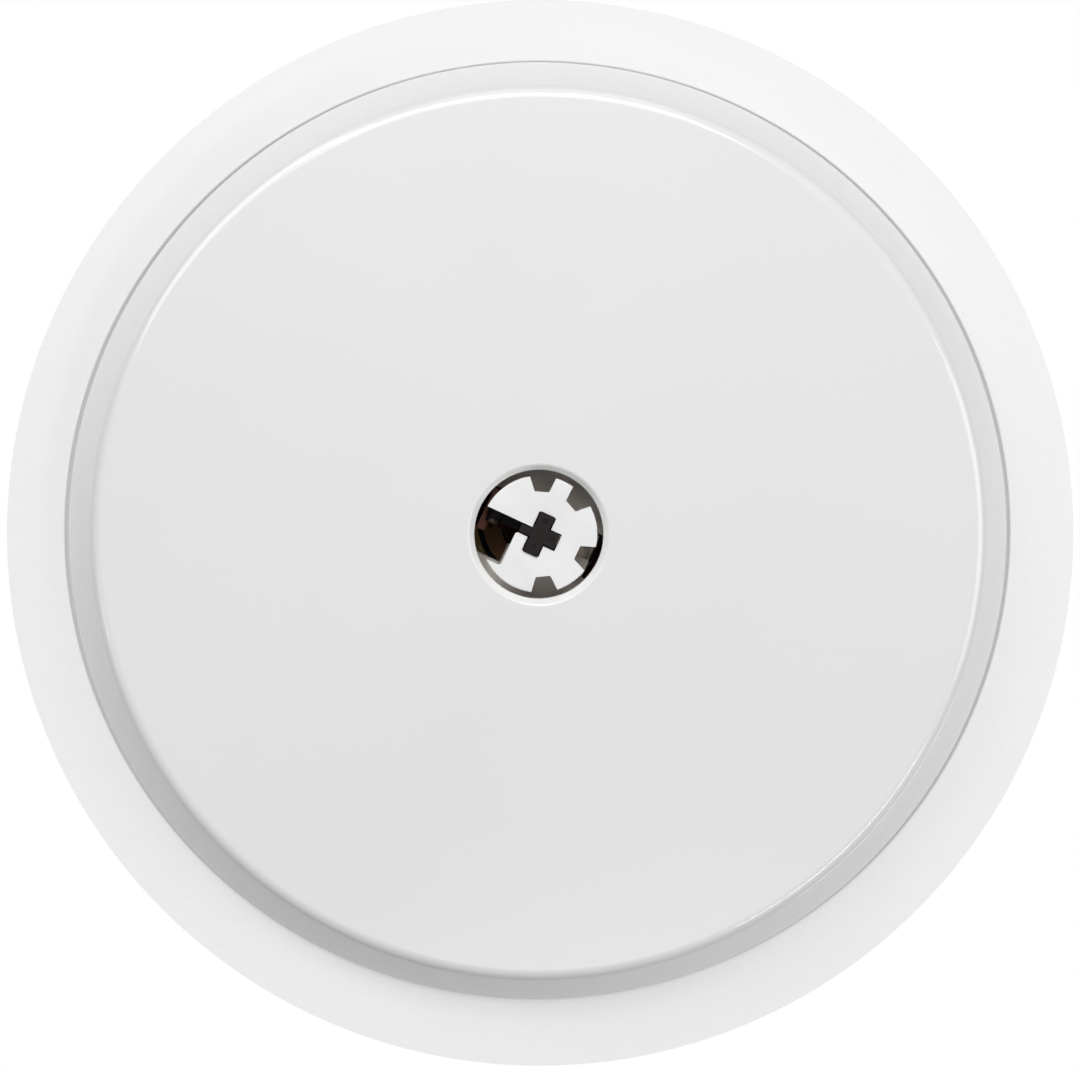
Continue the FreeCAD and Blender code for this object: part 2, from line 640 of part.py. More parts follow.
def fusibleKey():
    body = newBody("fusible_key", "clockAngle")
    reach, half = "crossReach - keyGap", "crossHalf - keyGap"
    foot = "-keyBottom"
    cross = [
        (reach, "-slotLower + keyGap"), (reach, "slotUpper - keyGap"), (half, "slotUpper - keyGap"),
        (half, reach), (f"-({half})", reach), (f"-({half})", half),
        (f"-({reach})", half), (f"-({reach})", f"-({half})"),
        (f"-({half})", f"-({half})"), (f"-({half})", f"-({reach})"),
        (half, f"-({reach})"), (half, "-slotLower + keyGap"),
    ]
    pad(body, outline(sketchOn(body, "XY_Plane", foot), cross), "keyBottom - keyFootTop")
    pad(body, circle(sketchOn(body, "XY_Plane", "-keyFootTop"), "0", "0", "keyShank"),
        "keyTop + keyFootTop")
    lips = outline(sketchOn(body, "XY_Plane", foot),
                   box(f"-({half})", "-crossReach - keyLip", half, "crossReach + keyLip"))
    pad(body, lips, "keyBottom - deflectorBottom - keyLipGap")
    for x, y in (("0", "keyDimplePlace"), ("0", "-keyDimplePlace"), ("-keyDimplePlace", "0")):
        pocket(body, circle(sketchOn(body, "XY_Plane", foot), x, y, "keyDimple"),
               "keyDimpleDepth")
    return body


def solderSleeve():
    body = newBody("solder_sleeve", "clockAngle")
    spin(body, box("keyShank", "-solderHalf", "solderRadius", "solderHalf"))
    return body


def linkArm(letter, turn):
    body = newBody(f"link_arm_{letter}", turn)
    middle = "(linkLower - linkUpper) / 2"
    width = "linkLower + linkUpper"
    bar = outline(sketchOn(body, "XZ_Plane", middle),
                  box("linkInner", "-linkHalfHeight", "linkPivot", "linkHalfHeight"))
    pad(body, bar, width, symmetric=True)
    pad(body, circle(sketchOn(body, "XZ_Plane", middle), "linkPivot", "0", "linkEye"), width,
        symmetric=True)
    pocket(body, circle(sketchOn(body, "XZ_Plane", middle), "linkPivot", "0",
                        "rivetRadius + fitGap"), f"{width} + overcut", symmetric=True)
    return body


def linkPin(letter, turn):
    body = newBody(f"link_pin_{letter}", turn)
    shank = circle(sketchOn(body, "XZ_Plane", "-leverHalf"), "linkPivot", "0", "rivetRadius")
    pad(body, shank, "leverHalf + linkLower + fitGap")
    head = circle(sketchOn(body, "XZ_Plane", "linkLower + fitGap"), "linkPivot", "0", "rivetHead")
    pad(body, head, "rivetHeadThick")
    return body


def lever(letter, turn):
    body = newBody(f"lever_{letter}", turn)
    hookBottom = "leverTop - hookThick"
    side = outline(sketchOn(body, "XZ_Plane"), [
        ("noseReach", "noseBottom"), ("legInner", "noseBottom"), ("legInner", "lugTop"),
        ("lugInner", "lugTop"), ("lugInner", "-lugBottom"), ("legOuter", "-lugBottom"),
        ("legOuter", hookBottom), ("hookReach", hookBottom),
        ("hookReach", "leverTop - hookDrop"), ("hookReach - 2 * hookDrop", "leverTop"),
        ("noseReach", "leverTop"),
    ])
    pad(body, side, "2 * leverHalf", symmetric=True)
    foot = outline(sketchOn(body, "XY_Plane", "-lugBottom"),
                   box("lugInner - overcut", "-leverHalf - overcut",
                       "legOuter + overcut", "lugSide"))
    pocket(body, foot, "lugBottom + lugTop")
    hole = circle(sketchOn(body, "XZ_Plane"), "linkPivot", "0", "rivetRadius")
    pocket(body, hole, "2 * leverHalf + overcut", symmetric=True)
    return body


def bridge():
    body = newBody("bridge", "clockAngle")
    lower = "leverTop + bridgeGap"
    outlineCorners = [
        ("bridgeReach", "-bridgeEndHalf"), ("bridgeReach", "bridgeEndHalf"),
        ("screwRadius", "bridgeMiddleHalf"), ("-screwRadius", "bridgeMiddleHalf"),
        ("-bridgeReach", "bridgeEndHalf"), ("-bridgeReach", "-bridgeEndHalf"),
        ("-screwRadius", "-bridgeMiddleHalf"), ("screwRadius", "-bridgeMiddleHalf"),
    ]
    pad(body, outline(sketchOn(body, "XY_Plane", lower), outlineCorners), "bridgeThick")
    pocket(body, circle(sketchOn(body, "XY_Plane", lower), "0", "0", "screwRadius"),
           "bridgeThick")
    return body


def compressionScrew():
    body = newBody("compression_screw", "clockAngle")
    spin(body, [
        ("0", "screwBottom"), ("screwRadius - screwTip", "screwBottom"),
        ("screwRadius", "screwBottom + screwTip"), ("screwRadius", "screwTop - screwTip"),
        ("screwRadius - screwTip", "screwTop"), ("0", "screwTop"),
    ])
    pocket(body, hexagon(sketchOn(body, "XY_Plane", "screwBottom"), "socketAcross"),
           "socketDepth")
    return body


def valveButton():
    body = newBody("valve_button")
    spin(body, [
        ("0", "screwTop"), ("buttonBoss", "screwTop"), ("buttonBoss", "buttonFace"),
        ("buttonRadius", "buttonFace"), ("buttonRadius", "buttonRest"),
        ("buttonPip", "buttonRest"), ("buttonPip", "buttonRest + pipRise / 2"),
        ("buttonPip / 2", "buttonRest + pipRise"), ("0", "buttonRest + pipRise"),
    ])
    return body


def bellevilleWasher():
    body = newBody("belleville_washer")
    rim = "seatHeight - sealGap"
    spin(body, [
        ("discSpringBore", "buttonRest"), ("discSpringBore + discSpringThick", "buttonRest"),
        ("discSpringRadius", f"{rim} - discSpringThick"), ("discSpringRadius", rim),
        ("discSpringRadius - discSpringThick", rim),
        ("discSpringBore", "buttonRest + discSpringThick"),
    ])
    return body


def ejectorSpring():
    ring = doc.addObject("Part::Torus", "ejector_spring")
    ring.Label = "ejector_spring"
    ring.setExpression("Radius1", bound("ejectorRadius"))
    ring.setExpression("Radius2", bound("ejectorWire"))
    ring.setExpression("Placement.Base.z", bound("leverTop + bridgeGap + bridgeThick + ejectorWire"))
    doc.recompute()
    return ring


def model():
    """Every sub-part, in the order in which they go together."""
    parts = [sprinklerBody(), sealingWasher(), guideRing(), retainingRing()]
    for letter, side in (("a", ""), ("b", "-")):
        parts += [guideBush(letter, side), guidePin(letter, side), pinClip(letter, side)]
    parts += [deflector(), fusibleKey(), solderSleeve()]
    for letter, turn in (("a", "clockAngle"), ("b", "clockAngle + 180")):
        parts += [lever(letter, turn), linkArm(letter, turn), linkPin(letter, turn)]
    parts += [bridge(), compressionScrew(), valveButton(), bellevilleWasher(), ejectorSpring()]
    parts += [escutcheonPlate(), escutcheonSleeve()]
    return parts


def checkAll(parts):
    """Stop if an object failed to recompute or a sub-part has no valid shape."""
    doc.recompute()
    failed = [o.Name for o in doc.Objects if {"Invalid", "Error"} & set(o.State)]
    broken = [p.Label for p in parts if p.Shape.isNull() or not p.Shape.isValid()]
    split = [p.Label for p in parts if len(p.Shape.Solids) != 1]
    if failed or broken or split:
        raise SystemExit(f"failed: {failed}, broken: {broken}, split: {split}")


writeSizes()
parts = model()
checkAll(parts)
os.makedirs("parts", exist_ok=True)
for part in parts:
    part.Shape.exportStep(f"parts/{part.Label}.step")
    print(f"{part.Label}: {part.Shape.Volume:.2f} mm3")
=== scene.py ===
import json
import math

import bmesh
import bpy
import numpy as np
from mathutils import Matrix, Vector


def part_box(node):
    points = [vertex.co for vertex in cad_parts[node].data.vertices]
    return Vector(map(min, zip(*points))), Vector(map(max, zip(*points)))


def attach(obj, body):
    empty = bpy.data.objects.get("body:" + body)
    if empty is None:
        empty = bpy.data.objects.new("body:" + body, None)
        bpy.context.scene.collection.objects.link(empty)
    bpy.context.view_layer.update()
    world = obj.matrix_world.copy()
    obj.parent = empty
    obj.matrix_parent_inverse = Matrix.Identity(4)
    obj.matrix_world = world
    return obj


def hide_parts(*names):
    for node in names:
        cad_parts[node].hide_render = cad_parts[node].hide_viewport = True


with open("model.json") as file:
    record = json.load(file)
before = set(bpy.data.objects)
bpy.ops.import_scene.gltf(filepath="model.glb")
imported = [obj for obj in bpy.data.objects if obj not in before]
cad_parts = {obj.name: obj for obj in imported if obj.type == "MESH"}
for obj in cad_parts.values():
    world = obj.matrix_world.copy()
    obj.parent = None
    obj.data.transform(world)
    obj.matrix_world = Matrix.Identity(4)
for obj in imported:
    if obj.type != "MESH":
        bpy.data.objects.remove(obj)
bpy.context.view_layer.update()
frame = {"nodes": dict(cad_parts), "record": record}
mm = 0.001
tau = 2 * math.pi
scene = bpy.context.scene
scene.view_settings.view_transform = "Standard"

# the plate's axis is Z through the origin, and its outer radius comes from the frame
plateLow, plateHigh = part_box("escutcheon_plate")
plateRadius = plateHigh.x
print("frame loaded:", len(frame["nodes"]), "nodes")


def meshFromGrid(name, points, closedAlong=False, closedAround=True):
    # points[i, j] is a grid of places; each quad joins (i, j), (i, j+1), (i+1, j+1) and (i+1, j).
    # closedAlong also joins the last i to the first, closedAround the last j to the first.
    rows, columns = points.shape[:2]
    i = np.arange(rows if closedAlong else rows - 1)[:, None]
    j = np.arange(columns if closedAround else columns - 1)[None, :]
    nextI, nextJ = (i + 1) % rows, (j + 1) % columns
    corners = [i * columns + j, i * columns + nextJ, nextI * columns + nextJ, nextI * columns + j]
    quads = np.stack(corners, axis=-1).reshape(-1, 4)
    return meshFromQuads(name, points.reshape(-1, 3), quads)


def meshFromQuads(name, points, quads):
    mesh = bpy.data.meshes.new(name)
    mesh.vertices.add(len(points))
    mesh.vertices.foreach_set("co", points.astype(np.float32).ravel())
    mesh.loops.add(quads.size)
    mesh.loops.foreach_set("vertex_index", quads.astype(np.int32).ravel())
    mesh.polygons.add(len(quads))
    mesh.polygons.foreach_set("loop_start", np.arange(0, quads.size, 4, dtype=np.int32))
    mesh.update(calc_edges=True)
    mesh.polygons.foreach_set("use_smooth", np.ones(len(quads), dtype=bool))
    mesh.validate()
    return mesh


def newPiece(mesh, body, material, replaced):
    piece = bpy.data.objects.new(mesh.name, mesh)
    scene.collection.objects.link(piece)
    mesh.materials.clear()
    mesh.materials.append(material)
    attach(piece, body)
    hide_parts(*replaced)
    return piece


def roundedOutline(corners, arcSteps=10, hold=0.06):
    # corners are (radius, height, round) in millimetres, in order round a closed outline. Each corner
    # gives an arc tangent to both of its sides: it starts and ends round / tan(half the angle) away.
    # Straight runs get one more point near each end, so that the smooth shading stays in the arcs.
    spots = np.array([c[:2] for c in corners], float)
    outline = []
    for k, (_, _, size) in enumerate(corners):
        here, before, after = spots[k], spots[k - 1], spots[(k + 1) % len(spots)]
        back = (before - here) / np.linalg.norm(before - here)
        on = (after - here) / np.linalg.norm(after - here)
        half = math.acos(np.clip(back @ on, -1, 1)) / 2
        away = size / math.tan(half)
        middle = here + (back + on) / np.linalg.norm(back + on) * size / math.sin(half)
        first, last = here + back * away - middle, here + on * away - middle
        turn = math.pi - 2 * half
        share = np.linspace(0, 1, arcSteps + 1)[:, None]
        arc = (first * np.sin((1 - share) * turn) + last * np.sin(share * turn)) / math.sin(turn)
        outline += [here + back * (away + hold)]
        outline += list(middle + arc)
        outline += [here + on * (away + hold)]
    return np.array(outline)


def turned(name, outline, steps):
    # the outline's points (radius, height) carried round the Z axis: x = r cos a, y = r sin a
    angle = np.linspace(0, tau, steps, endpoint=False)
    radius, height = outline[:, 0][:, None] * mm, outline[:, 1][:, None] * mm
    points = np.stack([radius * np.cos(angle), radius * np.sin(angle), height + 0 * angle], axis=-1)
    return meshFromGrid(name, points, closedAlong=True)


def addNode(tree, kind, values=None, **settings):
    node = tree.nodes.new(kind)
    for key, value in settings.items():
        setattr(node, key, value)
    for key, value in (values or {}).items():
        node.inputs[key].default_value = value
    return node


def join(tree, source, target):
    tree.links.new(source, target)


def newGroup(name, inputs, outputs):
    tree = bpy.data.node_groups.new(name, "ShaderNodeTree")
    for label, kind, value in inputs:
        socket = tree.interface.new_socket(label, in_out="INPUT", socket_type=kind)
        if value is not None:
            socket.default_value = value
    for label, kind in outputs:
        tree.interface.new_socket(label, in_out="OUTPUT", socket_type=kind)
    return tree, tree.nodes.new("NodeGroupInput"), tree.nodes.new("NodeGroupOutput")


def useGroup(tree, group, values=None):
    node = tree.nodes.new("ShaderNodeGroup")
    node.node_tree = group
    for key, value in (values or {}).items():
        node.inputs[key].default_value = value
    return node


def math2(tree, operation, a, b=None):
    node = tree.nodes.new("ShaderNodeMath")
    node.operation = operation
    for socket, value in zip(node.inputs, (a, b)):
        if value is None:
            continue
        if isinstance(value, (int, float)):
            socket.default_value = value
        else:
            tree.links.new(value, socket)
    return node.outputs[0]


def heightOf(tree, place):
    parts = addNode(tree, "ShaderNodeSeparateXYZ")
    join(tree, place, parts.inputs[0])
    return parts.outputs[2]


def distanceFromAxis(tree, place):
    # the length of (x, y, 0)
    flat = addNode(tree, "ShaderNodeVectorMath", {1: (1, 1, 0)}, operation="MULTIPLY")
    join(tree, place, flat.inputs[0])
    reach = addNode(tree, "ShaderNodeVectorMath", operation="LENGTH")
    join(tree, flat.outputs[0], reach.inputs[0])
    return reach.outputs["Value"]


def makeSprayGroup():
    # sprayed or dipped coating: a shallow orange peel with a few nibs, and a slow drift of shade
    tree, start, end = newGroup("sprayedSkin", [
        ("Place", "NodeSocketVector", None), ("Cells per metre", "NodeSocketFloat", 900.0),
        ("Drift per metre", "NodeSocketFloat", 30.0)],
        [("Height", "NodeSocketFloat"), ("Drift", "NodeSocketFloat")])
    peel = addNode(tree, "ShaderNodeTexNoise", {"Detail": 2.0, "Roughness": 0.5})
    join(tree, start.outputs["Place"], peel.inputs["Vector"])
    join(tree, start.outputs["Cells per metre"], peel.inputs["Scale"])
    drift = addNode(tree, "ShaderNodeTexNoise", {"Detail": 3.0, "Roughness": 0.55})
    join(tree, start.outputs["Place"], drift.inputs["Vector"])
    join(tree, start.outputs["Drift per metre"], drift.inputs["Scale"])
    join(tree, peel.outputs[0], end.inputs["Height"])
    join(tree, drift.outputs[0], end.inputs["Drift"])
    return tree


def makeLatheGroup():
    # fine rings left by a lathe: noise along radius plus height, stretched to nothing around the axis
    tree, start, end = newGroup("latheRings", [
        ("Place", "NodeSocketVector", None), ("Rings per metre", "NodeSocketFloat", 6000.0)],
        [("Height", "NodeSocketFloat")])
    parts = addNode(tree, "ShaderNodeSeparateXYZ")
    join(tree, start.outputs["Place"], parts.inputs[0])
    square = math2(tree, "ADD", math2(tree, "MULTIPLY", parts.outputs[0], parts.outputs[0]),
                   math2(tree, "MULTIPLY", parts.outputs[1], parts.outputs[1]))
    along = math2(tree, "ADD", math2(tree, "SQRT", square), parts.outputs[2])
    ring = addNode(tree, "ShaderNodeTexNoise", {"Detail": 2.0}, noise_dimensions="1D")
    join(tree, along, ring.inputs["W"])
    join(tree, start.outputs["Rings per metre"], ring.inputs["Scale"])
    join(tree, ring.outputs[0], end.inputs["Height"])
    return tree


def makeWearGroup():
    # 1 on corners that a cloth or a tool rubs: where a rounded normal leaves the face's own, broken by noise
    tree, start, end = newGroup("rubbedEdges", [
        ("Place", "NodeSocketVector", None), ("Reach", "NodeSocketFloat", 0.0002),
        ("Amount", "NodeSocketFloat", 1.0)],
        [("Wear", "NodeSocketFloat")])
    bevel = addNode(tree, "ShaderNodeBevel", samples=4)
    join(tree, start.outputs["Reach"], bevel.inputs["Radius"])
    geometry = addNode(tree, "ShaderNodeNewGeometry")
    dot = addNode(tree, "ShaderNodeVectorMath", operation="DOT_PRODUCT")
    join(tree, bevel.outputs[0], dot.inputs[0])
    join(tree, geometry.outputs["Normal"], dot.inputs[1])
    edge = addNode(tree, "ShaderNodeMapRange", {"From Min": 0.995, "From Max": 0.86})
    join(tree, dot.outputs["Value"], edge.inputs["Value"])
    noise = addNode(tree, "ShaderNodeTexNoise", {"Scale": 900.0, "Detail": 4.0})
    join(tree, start.outputs["Place"], noise.inputs["Vector"])
    broken = addNode(tree, "ShaderNodeMapRange", {"From Min": 0.38, "From Max": 0.62})
    join(tree, noise.outputs[0], broken.inputs["Value"])
    wear = math2(tree, "MULTIPLY", edge.outputs[0], broken.outputs[0])
    join(tree, math2(tree, "MULTIPLY", wear, start.outputs["Amount"]), end.inputs["Wear"])
    return tree


def makeStainGroup():
    # tarnish and handling marks: broad clouds cut through by finer ones
    tree, start, end = newGroup("tarnish", [
        ("Place", "NodeSocketVector", None), ("Clouds per metre", "NodeSocketFloat", 120.0),
        ("Cover", "NodeSocketFloat", 0.5)],
        [("Stain", "NodeSocketFloat")])
    broad = addNode(tree, "ShaderNodeTexNoise", {"Detail": 6.0, "Roughness": 0.62, "Distortion": 0.6})
    join(tree, start.outputs["Place"], broad.inputs["Vector"])
    join(tree, start.outputs["Clouds per metre"], broad.inputs["Scale"])
    # more cover starts the stain lower in the noise's range, and it is full a ramp above its start
    top, ramp = 0.92, 0.28
    low = math2(tree, "SUBTRACT", top, start.outputs["Cover"])
    stain = addNode(tree, "ShaderNodeMapRange", {"To Min": 0.0, "To Max": 1.0})
    join(tree, broad.outputs[0], stain.inputs["Value"])
    join(tree, low, stain.inputs["From Min"])
    join(tree, math2(tree, "ADD", low, ramp), stain.inputs["From Max"])
    join(tree, stain.outputs[0], end.inputs["Stain"])
    return tree


sprayedSkin, latheRings = makeSprayGroup(), makeLatheGroup()
rubbedEdges, tarnish = makeWearGroup(), makeStainGroup()


def newMaterial(name, fixed):
    # a material with its Principled shader, Object coordinates and the values that don't vary
    material = bpy.data.materials.new(name)
    material.use_nodes = True
    tree = material.node_tree
    shader = tree.nodes["Principled BSDF"]
    for key, value in fixed.items():
        shader.inputs[key].default_value = value
    place = addNode(tree, "ShaderNodeTexCoord").outputs["Object"]
    material.diffuse_color = (*shader.inputs["Base Color"].default_value[:3], 1)
    return material, tree, shader, place


def blendColours(tree, share, first, second):
    mix = addNode(tree, "ShaderNodeMix", data_type="RGBA")
    for socket, value in ((mix.inputs[6], first), (mix.inputs[7], second)):
        if isinstance(value, tuple):
            socket.default_value = (*value, 1)
        else:
            join(tree, value, socket)
    join(tree, share, mix.inputs[0])
    return mix.outputs[2]


def spread(tree, value, low, high, fromLow=0.3, fromHigh=0.7):
    # maps fromLow to low and fromHigh to high, and holds outside them
    node = addNode(tree, "ShaderNodeMapRange", {
        "From Min": fromLow, "From Max": fromHigh, "To Min": low, "To Max": high})
    join(tree, value, node.inputs["Value"])
    return node.outputs[0]


def bumpFrom(tree, height, distance, shader, below=None):
    bump = addNode(tree, "ShaderNodeBump", {"Distance": distance, "Strength": 1.0})
    join(tree, height, bump.inputs["Height"])
    if below is not None:
        join(tree, below, bump.inputs["Normal"])
    join(tree, bump.outputs[0], shader.inputs["Normal"])
    return bump.outputs[0]


def barePart(tree, place, look):
    # 1 on the unpainted back of the cover plate, else 0: above the middle of its face's sheet, below the
    # rim's edge, outside the collar, and nearer the axis than the middle of the flank, which leans out
    away, height = distanceFromAxis(tree, place), heightOf(tree, place)
    lean = math2(tree, "SUBTRACT", away, math2(tree, "MULTIPLY", height, look["lean"]))
    tests = [math2(tree, "GREATER_THAN", height, look["above"]),
             math2(tree, "LESS_THAN", height, look["below"]),
             math2(tree, "GREATER_THAN", away, look["outside"]),
             math2(tree, "LESS_THAN", lean, look["within"])]
    bare = tests[0]
    for test in tests[1:]:
        bare = math2(tree, "MULTIPLY", bare, test)
    return bare


def coating(name, look):
    # paint or polymer on metal: the colour drifts a little and the skin has an orange peel. Where the look
    # says so, rubbed edges show what is below, the opening's bore is matt and painted lighter than the face
    # as a painted light, and the back is bare
    material, tree, shader, place = newMaterial(name, {
        "Metallic": 0.0, "Specular IOR Level": look.get("specular", 0.5),
        "Coat Weight": look.get("coat", 0.0), "Coat Roughness": look.get("coatRough", 0.0)})
    skin = useGroup(tree, sprayedSkin, {"Cells per metre": look["cells"], "Drift per metre": look["drift"]})
    join(tree, place, skin.inputs["Place"])
    colour = blendColours(tree, spread(tree, skin.outputs["Drift"], 0, 1), look["dark"], look["light"])
    if look.get("wear"):
        rub = useGroup(tree, rubbedEdges, {"Reach": look["reach"], "Amount": look["wear"]})
        join(tree, place, rub.inputs["Place"])
        colour = blendColours(tree, rub.outputs[0], colour, look["below"])
    rough = spread(tree, skin.outputs["Drift"], *look["rough"])
    if look.get("bore"):
        # inside the opening the coat is thin and stays matt, and its colour is lighter than the face's, a
        # painted light on the bore's shaded wall: 1 below the first radius, 0 past the second
        inside = spread(tree, distanceFromAxis(tree, place), 1, 0, *look["bore"])
        colour = blendColours(tree, inside, colour, look["borePaintedLightColour"])
        rough = math2(tree, "MAXIMUM", rough, inside)
    if look.get("back"):
        bare = barePart(tree, place, look["back"])
        colour = blendColours(tree, bare, colour, look["bareColour"])
        rough = math2(tree, "MAXIMUM", rough, math2(tree, "MULTIPLY", bare, look["bareRough"]))
        join(tree, bare, shader.inputs["Metallic"])
        join(tree, spread(tree, bare, look["coat"], 0, 0, 1), shader.inputs["Coat Weight"])
    join(tree, colour, shader.inputs["Base Color"])
    join(tree, rough, shader.inputs["Roughness"])
    bumpFrom(tree, skin.outputs["Height"], look["peel"], shader)
    return material


def machined(name, look):
    # turned metal: lathe rings in the normal, tarnish in the colour and the roughness, bright rubbed
    # corners
    material, tree, shader, place = newMaterial(name, {"Metallic": look.get("metal", 1.0)})
    stain = useGroup(tree, tarnish, {"Clouds per metre": look["clouds"], "Cover": look["cover"]})
    join(tree, place, stain.inputs["Place"])
    colour = blendColours(tree, stain.outputs[0], look["clean"], look["dull"])
    rub = useGroup(tree, rubbedEdges, {"Reach": look["reach"], "Amount": look["wear"]})
    join(tree, place, rub.inputs["Place"])
    colour = blendColours(tree, rub.outputs[0], colour, look["bright"])
    rough = spread(tree, stain.outputs[0], *look["rough"], 0, 1)
    if look.get("inner"):
        # the hollow around the trigger is painted a darker red-brown, a painted shade for the dark inside:
        # nearer the axis than the radius, fading out over the last of it, and below the height
        radius, height, fade = look["inner"]
        near = spread(tree, distanceFromAxis(tree, place), 1, 0, radius - fade, radius)
        inside = math2(tree, "MULTIPLY", near, math2(tree, "LESS_THAN", heightOf(tree, place), height))
        colour = blendColours(tree, inside, colour, look["hollowShadeColour"])
        rough = math2(tree, "MAXIMUM", rough, math2(tree, "MULTIPLY", inside, look["hollowRough"]))
        join(tree, spread(tree, inside, 1, look["hollowMetal"], 0, 1), shader.inputs["Metallic"])
    if look.get("tip"):
        # the lower end is under the same coating as the piece that it holds: 1 below the tip's height
        coated = math2(tree, "LESS_THAN", heightOf(tree, place), look["tip"])
        colour = blendColours(tree, coated, colour, look["tipColour"])
        rough = math2(tree, "MAXIMUM", rough, math2(tree, "MULTIPLY", coated, look["tipRough"]))
        join(tree, math2(tree, "SUBTRACT", 1.0, coated), shader.inputs["Metallic"])
    join(tree, colour, shader.inputs["Base Color"])
    join(tree, rough, shader.inputs["Roughness"])
    rings = useGroup(tree, latheRings, {"Rings per metre": look["rings"]})
    join(tree, place, rings.inputs["Place"])
    first = bumpFrom(tree, rings.outputs[0], look["ringDepth"], shader)
    grain = addNode(tree, "ShaderNodeTexNoise", {"Scale": look["grain"], "Detail": 3.0})
    join(tree, place, grain.inputs["Vector"])
    bumpFrom(tree, grain.outputs[0], look["grainDepth"], shader, first)
    return material


enamelLook = {"dark": (0.845, 0.845, 0.84), "light": (0.865, 0.865, 0.86), "rough": (0.18, 0.22),
              "cells": 1100.0, "drift": 22.0, "peel": 0.000003, "coat": 0.6, "coatRough": 0.11,
              # the bore's colour, lighter than the face's, is a painted light on the opening's shaded wall
              "bore": (6.1 * mm, 6.6 * mm), "borePaintedLightColour": (0.95, 0.95, 0.945),
              "back": {"above": -4.6 * mm, "below": -0.15 * mm, "outside": 7.5 * mm, "within": 42.7 * mm,
                       "lean": 0.58},
              "bareColour": (0.56, 0.565, 0.57), "bareRough": 0.36}
deflectorLook = {"dark": (0.83, 0.83, 0.83), "light": (0.89, 0.89, 0.885), "rough": (0.42, 0.55),
                 "cells": 2600.0, "drift": 260.0, "peel": 0.00001}
blackLook = {"dark": (0.008, 0.0055, 0.0055), "light": (0.017, 0.011, 0.011), "rough": (0.5, 0.66),
             "specular": 0.25, "cells": 3000.0, "drift": 900.0, "peel": 0.00001,
             "wear": 0.25, "reach": 0.00005, "below": (0.05, 0.036, 0.03)}
brassLook = {"clean": (0.60, 0.43, 0.19), "dull": (0.33, 0.225, 0.10), "bright": (0.80, 0.62, 0.33),
             "rough": (0.24, 0.44), "clouds": 95.0, "cover": 0.42, "reach": 0.00022, "wear": 0.8,
             "rings": 5200.0, "ringDepth": 0.000006, "grain": 9000.0, "grainDepth": 0.000002,
             # the hollow's dark red-brown is painted shade
             "inner": (12.0 * mm, 15.0 * mm, 0.2 * mm), "hollowShadeColour": (0.5, 0.17, 0.11), "hollowRough": 0.7,
             "hollowMetal": 0.4}
# bronze painted near white, a painted light for the little light that reaches it deep inside
bronzePaintedLightLook = {"clean": (0.90, 0.83, 0.77), "dull": (0.75, 0.68, 0.62), "bright": (0.92, 0.87, 0.8),
              "rough": (0.55, 0.75), "metal": 0.15, "clouds": 240.0, "cover": 0.5,
              "reach": 0.00012, "wear": 0.6, "rings": 4200.0, "ringDepth": 0.000004,
              "grain": 7000.0, "grainDepth": 0.000003}
# the link pieces on one side painted paler, a painted light for their lit place in a notch
linkPaintedLightLook = {**bronzePaintedLightLook, "clean": (0.68, 0.60, 0.53), "dull": (0.52, 0.45, 0.39),
                "bright": (0.76, 0.70, 0.62)}
# bronze levers whose dark red-brown is partly painted shade, for the dark inside where they sit
leverPaintedShadeLook = {"clean": (0.26, 0.115, 0.075), "dull": (0.17, 0.07, 0.045), "bright": (0.36, 0.2, 0.13),
             "rough": (0.5, 0.68), "metal": 0.5, "clouds": 260.0, "cover": 0.55, "reach": 0.00012,
             "wear": 0.6, "rings": 1500.0, "ringDepth": 0.0, "grain": 6000.0, "grainDepth": 0.000005}
buttonLook = {"clean": (0.5, 0.26, 0.15), "dull": (0.34, 0.16, 0.09), "bright": (0.6, 0.4, 0.24),
              "rough": (0.4, 0.55), "metal": 0.8, "clouds": 160.0, "cover": 0.36, "reach": 0.00015,
              "wear": 0.7, "rings": 7000.0, "ringDepth": 0.000005, "grain": 9000.0, "grainDepth": 0.000001}
springLook = {"clean": (0.24, 0.25, 0.28), "dull": (0.12, 0.12, 0.14), "bright": (0.5, 0.5, 0.5),
              "rough": (0.25, 0.42), "clouds": 300.0, "cover": 0.45, "reach": 0.0001, "wear": 0.8,
              "rings": 3000.0, "ringDepth": 0.000001, "grain": 8000.0, "grainDepth": 0.000002}
pinLook = {"clean": (0.63, 0.62, 0.60), "dull": (0.46, 0.45, 0.43), "bright": (0.78, 0.78, 0.77),
           "rough": (0.16, 0.3), "clouds": 400.0, "cover": 0.3, "reach": 0.00006, "wear": 0.5,
           "rings": 9000.0, "ringDepth": 0.000002, "grain": 12000.0, "grainDepth": 0.000001}
guidePinLook = {**pinLook, "tip": -4.0 * mm, "tipColour": (0.86, 0.86, 0.86), "tipRough": 0.48}
# stainless painted dark, a painted shade for the dark window that the pin sits in
pinPaintedShadeLook = {**pinLook, "clean": (0.11, 0.085, 0.075), "dull": (0.06, 0.045, 0.04),
               "bright": (0.3, 0.25, 0.22), "rough": (0.4, 0.6)}
solderLook = {"clean": (0.46, 0.46, 0.46), "dull": (0.27, 0.27, 0.28), "bright": (0.6, 0.6, 0.6),
              "rough": (0.38, 0.58), "clouds": 900.0, "cover": 0.5, "reach": 0.00006, "wear": 0.3,
              "rings": 900.0, "ringDepth": 0.0, "grain": 5200.0, "grainDepth": 0.00001}
discLook = {"clean": (0.10, 0.10, 0.11), "dull": (0.05, 0.05, 0.055), "bright": (0.3, 0.3, 0.31),
            "rough": (0.3, 0.46), "clouds": 300.0, "cover": 0.5, "reach": 0.0001, "wear": 0.5,
            "rings": 3000.0, "ringDepth": 0.000001, "grain": 8000.0, "grainDepth": 0.000003}
